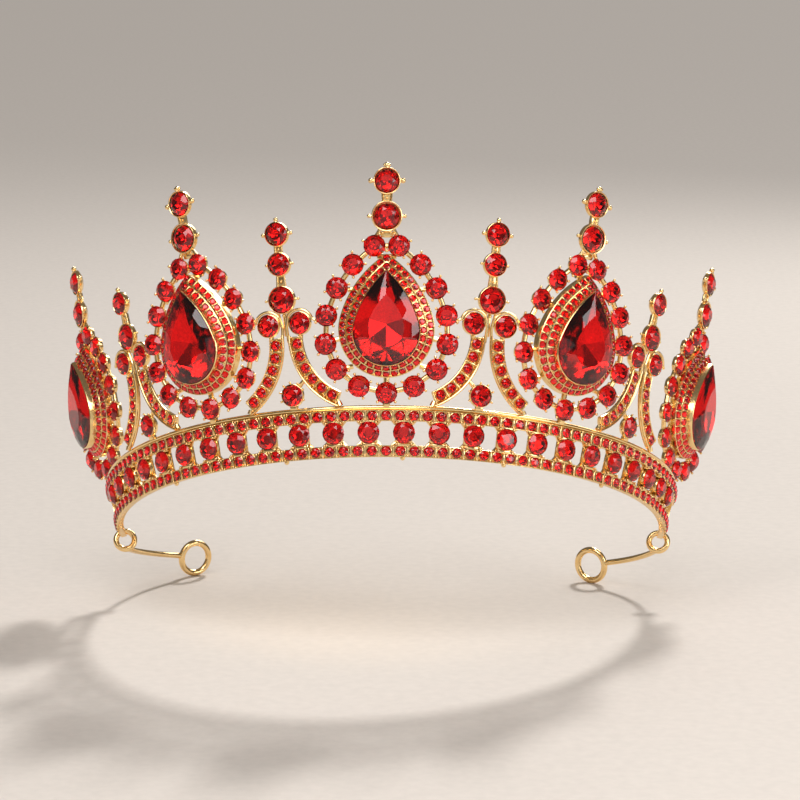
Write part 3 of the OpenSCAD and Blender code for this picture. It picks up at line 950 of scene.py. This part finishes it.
class TIARA_OT_spires(TiaraOperator):
    """Build the spires with their cups, scrolls and prongs, and the curved branches"""

    bl_idname = "tiara.spires"
    bl_label = "Spires"

    SCROLL_RADIUS = 3.75
    SCROLL_SWEEP = math.radians(135)

    def spire_pattern(self, tall):
        """A column of cups with a pair of side cups under scrolls; a tall one has a third cup on top."""
        d = sizes().round_stone / MM
        bm = bmesh.new()
        low_d, low, low_w = SPIRE_LOW
        mid_d, mid, mid_w = SPIRE_MID
        top_d, top, top_w = SPIRE_TOP
        stamp(bm, cup_pattern(low_d, 3.85, "spire_low_cup", gap=0.12), spot(0, low, low_w))
        stamp(bm, cup_pattern(mid_d, 3.3, "spire_mid_cup", gap=0.03), spot(0, mid, mid_w))
        neck(bm, low + 3.5, mid - 3.1, 1.15, 0.95)
        crest, crest_w = (top, top_w) if tall else (mid, mid_w)
        if tall:
            stamp(bm, cup_pattern(top_d, 3.4, "spire_top_cup", gap=0.12), spot(0, top, top_w))
            neck(bm, mid + 3.1, top - 3.1, 0.95, 0.95)
        side_cup = cup_pattern(d, 3.2, "spire_side_cup", gap=0.02, lip=0.12)
        for side in (-1, 1):
            angle = outwards(side)
            stamp(bm, side_cup, spot(side * PAIR[0], PAIR[1], ROUND_W))
            side_ball(bm, (side * 3.15, mid, mid_w - 0.6), angle, 0.6, 0.26, 0.42)
            side_ball(bm, (side * 3.7, low, low_w - 0.6), angle, 0.95, 0.26, 0.4)
            if tall:
                side_ball(bm, (side * 3.2, top, top_w - 0.4), angle, 0.75, 0.36, 0.6)
            # the scroll that curls over the side stone, from the stem to the ring's stone
            start = math.radians(12 if side > 0 else 33)
            arc_tube(bm, self.SCROLL_RADIUS, 0.4, start, self.SCROLL_SWEEP, 24, sides=10,
                     centre=(side * PAIR[0], PAIR[1], 1.0))
            rod(bm, (side * 8.1, PAIR[1] + 1.0, 0.9), (side * 9.3, PAIR[1] + 0.2, 0.6), 0.45, 0.4)
            # the stem's two limbs, which cross below the large stone and run into the branches
            rod(bm, (side * 1.5, low - 3.6, 0.6), (side * 0.6, 35.6, 0.65), 0.46, 0.42, sides=10)
            rod(bm, (side * 0.6, 35.7, 0.65), (side * 0.9, 31.6, 0.65), 0.42, 0.42, sides=10)
            ball(bm, 0.42, spot(side * 4.2, PAIR[1] - 3.45, 0.5), 2)
            block(bm, (1.3, 1.4, 1.0), spot(side * 4.2, PAIR[1] - 3.4, 0.0), 0.25)
        side_ball(bm, (0, crest + 3.3, crest_w - 0.4), 90, 0.65, 0.42, 0.66)
        block(bm, (0.9, 6.2, 0.8), spot(0, 36.4, -0.3), 0.25)
        ball(bm, 0.45, spot(0, 38.9, 0.5), 2)
        return template(bm, "spire")

    def branch_arm(self, arc):
        """One branch: a bold outer wire, a fine inner one, a back strip, and the seats' cross bars."""
        u, h, radius, first, step, end = arc
        start = math.radians(first - 5)
        sweep = math.radians(end) - start
        bm = bmesh.new()
        arc_tube(bm, radius + 2.1, 0.4, start - math.radians(2), sweep + math.radians(4), 40,
                 sides=12, centre=(u, h, 0.75), flat=1.5)
        arc_tube(bm, radius - 1.6, 0.22, start, sweep, 36, sides=10, centre=(u, h, 0.7), flat=1.8)
        arc_tube(bm, radius + 0.3, 1.85, start, sweep, 36, sides=12, centre=(u, h, -0.2), flat=0.2)
        r = sizes().small_stone / MM / 2
        bezel = ((r + 0.02, -0.9), (r - 0.02, 0.0), (r + 0.06, 0.08), (r + 0.16, -0.1), (r + 0.18, -0.9))
        seat = bmesh.new()
        turn_profile(seat, bezel, BRANCH_BEZEL_STEPS)
        seat = template(seat, "branch_seat")
        for i in range(BRANCH_STONES):
            stamp(bm, seat, spot(*branch_point(arc, i), BRANCH_STONE_W))
        for i in range(BRANCH_STONES + 1):
            u, h = branch_point(arc, i - 0.5, 0.25)
            radial = turned(first + step * (i - 0.5))
            block(bm, (3.5, 0.42, 1.0), spot(u, h, 0.3) @ radial, 0.15)
            for offset in (-1.25, 1.55):
                ball(bm, 0.27, spot(*branch_point(arc, i - 0.5, offset), 0.85), 2)
        foot_u, foot_h = branch_point(arc, 5.6, 0.9)
        rod(bm, (foot_u, foot_h, 0.3), (foot_u + 0.35, 13.3, 0.3), 0.6, 0.85, sides=10)
        return bm

    def branch_pattern(self, angle):
        """A spire's two arms, and between their feet the cup of the base stone."""
        d = sizes().round_stone / MM
        bm = bmesh.new()
        for side in (-1, 1):
            arm = template(self.branch_arm(arc_of(side, angle)), "branch_arm")
            stamp(bm, arm, Matrix.Diagonal((side, 1, 1, 1)))
        bmesh.ops.recalc_face_normals(bm, faces=bm.faces[:])
        front = front_side(angle)
        shift = front * BASE_SHIFT
        stamp(bm, cup_pattern(d, 3.15, "base_cup", gap=0.0, lip=0.1), spot(shift, BASE_STONE, ROUND_W))
        part = bmesh.new()
        claws(part, d, (22, 60, 96, 130, 164, 205, 335), tip=0.32, stand=0.55)
        stamp(bm, template(part, "base_claws"), spot(shift, BASE_STONE, ROUND_W))
        rod(bm, (shift + front * 2.0, BASE_STONE + 2.3, 0.3), (shift + front * 4.0, BASE_STONE + 4.3, 0.3),
            0.62, 0.55, sides=10)
        block(bm, (2.2, 1.4, 1.4), spot(shift, TOP_WIRE + 0.9, 0.2), 0.35)
        return template(bm, "branches")

    def build(self):
        for name, (angle, tall) in SPIRES.items():
            place = on_wall(math.radians(angle))
            patterns = (("spire", self.spire_pattern(tall)), ("branches", self.branch_pattern(angle)))
            for kind, pattern in patterns:
                bm = bmesh.new()
                stamp(bm, pattern, place)
                gold_piece(bm, f"{name}_{kind}")


class TIARA_OT_spire_stones(TiaraOperator):
    """Cut the stones of the spires and their branches"""

    bl_idname = "tiara.spire_stones"
    bl_label = "Spire stones"

    def build(self):
        s = sizes()
        mid = template(chaton(SPIRE_MID[0]), "spire_chaton")
        low = template(chaton(SPIRE_LOW[0]), "spire_low_chaton")
        pair = template(chaton(s.round_stone / MM), "spire_side_chaton")
        small = template(chaton(s.small_stone / MM, SMALL_MAINS), "branch_chaton")
        chance = random.Random(SPIRE_SEED)
        for name, (angle, tall) in SPIRES.items():
            place = on_wall(math.radians(angle))
            shift = front_side(angle) * BASE_SHIFT
            spots = [(low, 0, *SPIRE_LOW[1:]), (mid, 0, *SPIRE_MID[1:]), (pair, -PAIR[0], PAIR[1], ROUND_W),
                     (pair, PAIR[0], PAIR[1], ROUND_W), (pair, shift, BASE_STONE, ROUND_W)]
            if tall:
                spots.append((mid, 0, *SPIRE_TOP[1:]))
            bm = bmesh.new()
            for pattern, u, h, w in spots:
                tip = Matrix.Rotation(math.radians(chance.uniform(-SPIRE_TILT, SPIRE_TILT)), 4, "X")
                stamp(bm, pattern, place @ spot(u, h, w) @ tip @ turned(chance.uniform(0, 45)))
            stone_piece(bm, name + "_spire_stones")
            bm = bmesh.new()
            for side in (-1, 1):
                for i in range(BRANCH_STONES):
                    u, h = branch_point(arc_of(side, angle), i)
                    stone = place @ spot(side * u, h, BRANCH_STONE_W)
                    stamp(bm, small, stone @ turned(chance.uniform(0, 60)))
            stone_piece(bm, name + "_branch_stones")


class TIARA_OT_rear_wires(TiaraOperator):
    """Finish the end plates, legs and rings"""

    bl_idname = "tiara.rear_wires"
    bl_label = "Rear wires"

    def build(self):
        for node in ("left_end_plate", "right_end_plate", "left_leg", "right_leg", "left_ring", "right_ring"):
            piece = next(o for o in bpy.data.objects if o.name == node)
            finish = finish_of("gold" if "plate" in node else "gold_wire")
            for slot in piece.material_slots:
                slot.material = finish


class TIARA_OT_stage(TiaraOperator):
    """Lay the floor, and set the studio lights and the camera"""

    bl_idname = "tiara.stage"
    bl_label = "Stage"

    CAMERA_PLACE = Vector((0.01692, -0.91296, 0.19611))
    CAMERA_AIM = Vector((0.00286, -0.01626, 0.0417))
    LENS_MM = 143.45
    SENSOR_MM = 36.0
    FLOOR_HALF = 30.0
    SUN_FROM = Vector((0.2, 0.75, 0.7))
    SUN_STRENGTH = 2.2
    SUN_ANGLE = math.radians(7)
    AIR_COLOUR = "#e8e2dc"
    AIR_STRENGTH = 0.18
    LIGHT_AIM = Vector((0, 0, 0.02))

    # Softboxes: place and size in metres, and share of the front softbox's power
    SOFTBOXES = {
        "front_softbox": ((-0.15, -0.75, 0.95), (0.9, 0.6), 1.0),
        "front_fill": ((0.1, -1.5, 0.4), (1.4, 0.9), 0.2),
        "right_softbox": ((0.8, -0.55, 0.4), (0.4, 0.6), 0.35),
        "rear_softbox": ((0.35, 0.75, 0.6), (0.6, 0.4), 0.4),
    }

    def softbox(self, name, place, size, power):
        data = bpy.data.lights.new(name, "AREA")
        data.shape = "RECTANGLE"
        data.size, data.size_y = size
        data.energy = power
        lamp = bpy.data.objects.new(name, data)
        bpy.context.scene.collection.objects.link(lamp)
        lamp.location = place
        lamp.rotation_euler = (self.LIGHT_AIM - lamp.location).to_track_quat("-Z", "Y").to_euler()

    def build(self):
        scene = bpy.context.scene
        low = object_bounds()[0][2]
        bm = bmesh.new()
        bmesh.ops.create_grid(bm, x_segments=1, y_segments=1, size=self.FLOOR_HALF,
                              matrix=Matrix.Translation((0, 0, low)))
        floor = new_piece(bm, "studio_floor", [floor_paper("backdrop_paper")], smooth=False)
        floor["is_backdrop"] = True
        sun = bpy.data.lights.new("window_key", "SUN")
        sun.energy = self.SUN_STRENGTH
        sun.angle = self.SUN_ANGLE
        lamp = bpy.data.objects.new("window_key", sun)
        scene.collection.objects.link(lamp)
        lamp.rotation_euler = self.SUN_FROM.to_track_quat("Z", "Y").to_euler()
        for name, (place, size, share) in self.SOFTBOXES.items():
            self.softbox(name, place, size, colours().key_energy * share)
        world = bpy.data.worlds.new("studio_air")
        scene.world = world
        world.use_nodes = True
        air = world.node_tree.nodes["Background"]
        air.inputs["Color"].default_value = linear(self.AIR_COLOUR)
        air.inputs["Strength"].default_value = self.AIR_STRENGTH
        scene.view_settings.view_transform = "Standard"
        data = bpy.data.cameras.new("front_camera")
        data.lens = self.LENS_MM
        data.sensor_width = self.SENSOR_MM
        camera = bpy.data.objects.new("front_camera", data)
        scene.collection.objects.link(camera)
        camera.location = self.CAMERA_PLACE
        camera.rotation_euler = (self.CAMERA_AIM - self.CAMERA_PLACE).to_track_quat("-Z", "Y").to_euler()
        scene.camera = camera


STEPS = (
    TIARA_OT_rails, TIARA_OT_band_settings, TIARA_OT_band_stones, TIARA_OT_medallions,
    TIARA_OT_medallion_stones, TIARA_OT_spires, TIARA_OT_spire_stones, TIARA_OT_rear_wires, TIARA_OT_stage)


class TIARA_PT_panel(bpy.types.Panel):
    bl_label = "Ruby tiara"
    bl_idname = "TIARA_PT_panel"
    bl_space_type = "VIEW_3D"
    bl_region_type = "UI"
    bl_category = "Tiara"

    def draw(self, context):
        for group in (context.scene.tiara_sizes, context.scene.tiara_colours):
            for name in group.__annotations__:
                self.layout.prop(group, name)
        for step in STEPS:
            self.layout.operator(step.bl_idname)


CLASSES = (TiaraSizes, TiaraColours) + STEPS + (TIARA_PT_panel,)


def register():
    for cls in CLASSES:
        bpy.utils.register_class(cls)
    bpy.types.Scene.tiara_sizes = PointerProperty(type=TiaraSizes)
    bpy.types.Scene.tiara_colours = PointerProperty(type=TiaraColours)


def unregister():
    del bpy.types.Scene.tiara_colours
    del bpy.types.Scene.tiara_sizes
    for cls in reversed(CLASSES):
        bpy.utils.unregister_class(cls)


def main():
    register()
    for step in STEPS:
        group, name = step.bl_idname.split(".")
        getattr(getattr(bpy.ops, group), name)()


if __name__ == "__main__":
    main()
